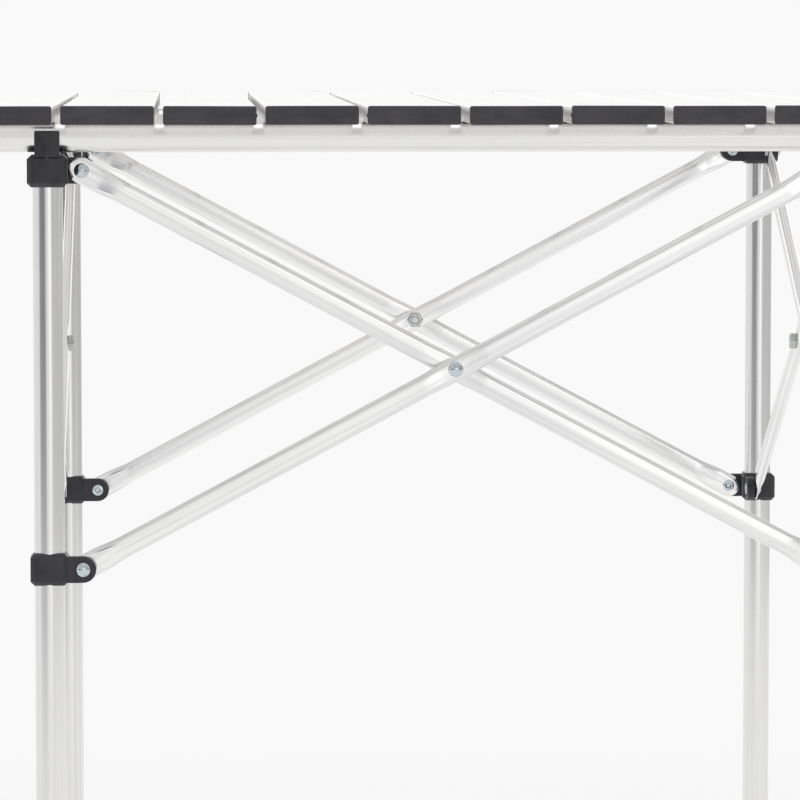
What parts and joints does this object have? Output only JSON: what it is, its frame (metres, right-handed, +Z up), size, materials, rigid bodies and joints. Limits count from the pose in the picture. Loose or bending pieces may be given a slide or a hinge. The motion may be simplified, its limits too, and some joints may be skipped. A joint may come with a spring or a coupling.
{
  "type": "folding camp table",
  "caption": "Square roll-top camp table with aluminium slats on two rails and four legs joined by a folding scissor frame",
  "frame": {"origin": "on the floor under the middle of the top", "axes": "+X runs along the rails to the right, +Y runs along the slats to the rear, +Z is up; the front faces -Y"},
  "size_m": [0.6992, 0.685, 0.7],
  "materials": {
    "slat_aluminium": "satin",
    "tube_aluminium": "satin anodised",
    "bar_aluminium": "drawn bright",
    "black_plastic": "fine moulded texture",
    "zinc_steel": "zinc plated",
    "foot_rubber": "matt"
  },
  "bodies": {
    "body_leg_front_left": {"leg_front_left": "tube_aluminium", "foot_front_left": "foot_rubber", "top_bracket_front_left": "black_plastic", "rail_front": "tube_aluminium"},
    "body_bar_front_inner": {"bar_front_inner": "bar_aluminium", "rivet_front_inner_top": "zinc_steel", "rivet_front_inner_bottom": "zinc_steel"},
    "body_bar_front_outer": {"bar_front_outer": "bar_aluminium", "rivet_front_outer_top": "zinc_steel", "rivet_front_outer_bottom": "zinc_steel", "crossing_bolt_front": "zinc_steel"},
    "body_leg_front_right": {"leg_front_right": "tube_aluminium", "foot_front_right": "foot_rubber", "top_bracket_front_right": "black_plastic"},
    "body_slider_front_left": {"slider_front_left": "black_plastic"},
    "body_slider_front_right": {"slider_front_right": "black_plastic"},
    "body_bar_left_outer": {"bar_left_outer": "bar_aluminium", "rivet_left_outer_top": "zinc_steel", "rivet_left_outer_bottom": "zinc_steel", "crossing_bolt_left": "zinc_steel"},
    "body_bar_left_inner": {"bar_left_inner": "bar_aluminium", "rivet_left_inner_top": "zinc_steel", "rivet_left_inner_bottom": "zinc_steel"},
    "body_leg_rear_left": {"leg_rear_left": "tube_aluminium", "foot_rear_left": "foot_rubber", "top_bracket_rear_left": "black_plastic", "rail_rear": "tube_aluminium"},
    "body_slider_rear_left": {"slider_rear_left": "black_plastic"},
    "body_bar_rear_outer": {"bar_rear_outer": "bar_aluminium", "rivet_rear_outer_top": "zinc_steel", "rivet_rear_outer_bottom": "zinc_steel", "crossing_bolt_rear": "zinc_steel"},
    "body_bar_rear_inner": {"bar_rear_inner": "bar_aluminium", "rivet_rear_inner_top": "zinc_steel", "rivet_rear_inner_bottom": "zinc_steel"},
    "body_leg_rear_right": {"leg_rear_right": "tube_aluminium", "foot_rear_right": "foot_rubber", "top_bracket_rear_right": "black_plastic"},
    "body_slider_rear_right": {"slider_rear_right": "black_plastic"},
    "body_bar_right_inner": {"bar_right_inner": "bar_aluminium", "rivet_right_inner_top": "zinc_steel", "rivet_right_inner_bottom": "zinc_steel"},
    "body_bar_right_outer": {"bar_right_outer": "bar_aluminium", "rivet_right_outer_top": "zinc_steel", "rivet_right_outer_bottom": "zinc_steel", "crossing_bolt_right": "zinc_steel"},
    "body_slat_01": {"slat_01": "slat_aluminium"},
    "body_slat_02": {"slat_02": "slat_aluminium"},
    "body_slat_03": {"slat_03": "slat_aluminium"},
    "body_slat_04": {"slat_04": "slat_aluminium"},
    "body_slat_05": {"slat_05": "slat_aluminium"},
    "body_slat_06": {"slat_06": "slat_aluminium"},
    "body_slat_07": {"slat_07": "slat_aluminium"},
    "body_slat_08": {"slat_08": "slat_aluminium"},
    "body_slat_09": {"slat_09": "slat_aluminium"},
    "body_slat_10": {"slat_10": "slat_aluminium"},
    "body_slat_11": {"slat_11": "slat_aluminium"},
    "body_slat_12": {"slat_12": "slat_aluminium"}
  },
  "joints": [
    {"name": "fold", "type": "hinge", "parent": "body_leg_front_left", "child": "body_bar_front_inner", "pos_m": [-0.2225, -0.2425, 0.66], "axis": [0, 1, 0], "range_deg": [0, 59]},
    {"name": "front_crossing", "type": "hinge", "parent": "body_bar_front_inner", "child": "body_bar_front_outer", "pos_m": [0, -0.2425, 0.54137], "axis": [0, 1, 0], "range_deg": [-118, 0]},
    {"name": "front_right_leg_pivot", "type": "hinge", "parent": "body_bar_front_outer", "child": "body_leg_front_right", "pos_m": [0.2225, -0.2425, 0.66], "axis": [0, 1, 0], "range_deg": [0, 59]},
    {"name": "front_left_slider_pivot", "type": "hinge", "parent": "body_bar_front_outer", "child": "body_slider_front_left", "pos_m": [-0.2225, -0.2425, 0.42274], "axis": [0, 1, 0], "range_deg": [0, 59]},
    {"name": "front_right_slider_pivot", "type": "hinge", "parent": "body_bar_front_inner", "child": "body_slider_front_right", "pos_m": [0.2225, -0.2425, 0.42274], "axis": [0, 1, 0], "range_deg": [-59, 0]},
    {"name": "left_top_pivot", "type": "hinge", "parent": "body_leg_front_left", "child": "body_bar_left_outer", "pos_m": [-0.2425, -0.2225, 0.66], "axis": [-1, 0, 0], "range_deg": [0, 59]},
    {"name": "left_crossing", "type": "hinge", "parent": "body_bar_left_outer", "child": "body_bar_left_inner", "pos_m": [-0.2425, 0, 0.54137], "axis": [-1, 0, 0], "range_deg": [-118, 0]},
    {"name": "rear_left_leg_pivot", "type": "hinge", "parent": "body_bar_left_inner", "child": "body_leg_rear_left", "pos_m": [-0.2425, 0.2225, 0.66], "axis": [-1, 0, 0], "range_deg": [0, 59]},
    {"name": "rear_left_slider_pivot", "type": "hinge", "parent": "body_bar_left_outer", "child": "body_slider_rear_left", "pos_m": [-0.2425, 0.2225, 0.42274], "axis": [-1, 0, 0], "range_deg": [-59, 0]},
    {"name": "rear_top_pivot", "type": "hinge", "parent": "body_leg_rear_left", "child": "body_bar_rear_outer", "pos_m": [-0.2225, 0.2425, 0.66], "axis": [0, 1, 0], "range_deg": [0, 59]},
    {"name": "rear_crossing", "type": "hinge", "parent": "body_bar_rear_outer", "child": "body_bar_rear_inner", "pos_m": [0, 0.2425, 0.54137], "axis": [0, 1, 0], "range_deg": [-118, 0]},
    {"name": "rear_right_leg_pivot", "type": "hinge", "parent": "body_bar_rear_inner", "child": "body_leg_rear_right", "pos_m": [0.2225, 0.2425, 0.66], "axis": [0, 1, 0], "range_deg": [0, 59]},
    {"name": "rear_right_slider_pivot", "type": "hinge", "parent": "body_bar_rear_outer", "child": "body_slider_rear_right", "pos_m": [0.2225, 0.2425, 0.42274], "axis": [0, 1, 0], "range_deg": [-59, 0]},
    {"name": "right_top_pivot", "type": "hinge", "parent": "body_leg_front_right", "child": "body_bar_right_inner", "pos_m": [0.2425, -0.2225, 0.66], "axis": [-1, 0, 0], "range_deg": [0, 59]},
    {"name": "right_crossing", "type": "hinge", "parent": "body_bar_right_inner", "child": "body_bar_right_outer", "pos_m": [0.2425, 0, 0.54137], "axis": [-1, 0, 0], "range_deg": [-118, 0]},
    {"name": "top_lift", "type": "slide", "parent": "body_leg_front_left", "child": "body_slat_01", "axis": [0, 0, 1], "range_m": [0, 0.12]},
    {"name": "top_roll", "type": "hinge", "parent": "body_slat_01", "child": "body_slat_02", "pos_m": [-0.2935, 0, 0.69455], "axis": [0, -1, 0], "range_deg": [0, 28]},
    {"name": "roll_02_03", "type": "hinge", "parent": "body_slat_02", "child": "body_slat_03", "pos_m": [-0.2348, 0, 0.69455], "axis": [0, -1, 0], "range_deg": [0, 28]},
    {"name": "roll_03_04", "type": "hinge", "parent": "body_slat_03", "child": "body_slat_04", "pos_m": [-0.1761, 0, 0.69455], "axis": [0, -1, 0], "range_deg": [0, 28]},
    {"name": "roll_04_05", "type": "hinge", "parent": "body_slat_04", "child": "body_slat_05", "pos_m": [-0.1174, 0, 0.69455], "axis": [0, -1, 0], "range_deg": [0, 28]},
    {"name": "roll_05_06", "type": "hinge", "parent": "body_slat_05", "child": "body_slat_06", "pos_m": [-0.0587, 0, 0.69455], "axis": [0, -1, 0], "range_deg": [0, 28]},
    {"name": "roll_06_07", "type": "hinge", "parent": "body_slat_06", "child": "body_slat_07", "pos_m": [0, 0, 0.69455], "axis": [0, -1, 0], "range_deg": [0, 28]},
    {"name": "roll_07_08", "type": "hinge", "parent": "body_slat_07", "child": "body_slat_08", "pos_m": [0.0587, 0, 0.69455], "axis": [0, -1, 0], "range_deg": [0, 28]},
    {"name": "roll_08_09", "type": "hinge", "parent": "body_slat_08", "child": "body_slat_09", "pos_m": [0.1174, 0, 0.69455], "axis": [0, -1, 0], "range_deg": [0, 28]},
    {"name": "roll_09_10", "type": "hinge", "parent": "body_slat_09", "child": "body_slat_10", "pos_m": [0.1761, 0, 0.69455], "axis": [0, -1, 0], "range_deg": [0, 28]},
    {"name": "roll_10_11", "type": "hinge", "parent": "body_slat_10", "child": "body_slat_11", "pos_m": [0.2348, 0, 0.69455], "axis": [0, -1, 0], "range_deg": [0, 28]},
    {"name": "roll_11_12", "type": "hinge", "parent": "body_slat_11", "child": "body_slat_12", "pos_m": [0.2935, 0, 0.69455], "axis": [0, -1, 0], "range_deg": [0, 28]}
  ],
  "couplings": [
    {"joint": "front_crossing", "follows": "fold", "ratio": -2},
    {"joint": "front_right_leg_pivot", "follows": "fold", "ratio": 1},
    {"joint": "front_left_slider_pivot", "follows": "fold", "ratio": 1},
    {"joint": "front_right_slider_pivot", "follows": "fold", "ratio": -1},
    {"joint": "left_top_pivot", "follows": "fold", "ratio": 1},
    {"joint": "left_crossing", "follows": "fold", "ratio": -2},
    {"joint": "rear_left_leg_pivot", "follows": "fold", "ratio": 1},
    {"joint": "rear_left_slider_pivot", "follows": "fold", "ratio": -1},
    {"joint": "rear_top_pivot", "follows": "fold", "ratio": 1},
    {"joint": "rear_crossing", "follows": "fold", "ratio": -2},
    {"joint": "rear_right_leg_pivot", "follows": "fold", "ratio": 1},
    {"joint": "rear_right_slider_pivot", "follows": "fold", "ratio": -1},
    {"joint": "right_top_pivot", "follows": "fold", "ratio": 1},
    {"joint": "right_crossing", "follows": "fold", "ratio": -2},
    {"joint": "roll_02_03", "follows": "top_roll", "ratio": 1},
    {"joint": "roll_03_04", "follows": "top_roll", "ratio": 1},
    {"joint": "roll_04_05", "follows": "top_roll", "ratio": 1},
    {"joint": "roll_05_06", "follows": "top_roll", "ratio": 1},
    {"joint": "roll_06_07", "follows": "top_roll", "ratio": 1},
    {"joint": "roll_07_08", "follows": "top_roll", "ratio": 1},
    {"joint": "roll_08_09", "follows": "top_roll", "ratio": 1},
    {"joint": "roll_09_10", "follows": "top_roll", "ratio": 1},
    {"joint": "roll_10_11", "follows": "top_roll", "ratio": 1},
    {"joint": "roll_11_12", "follows": "top_roll", "ratio": 1}
  ]
}
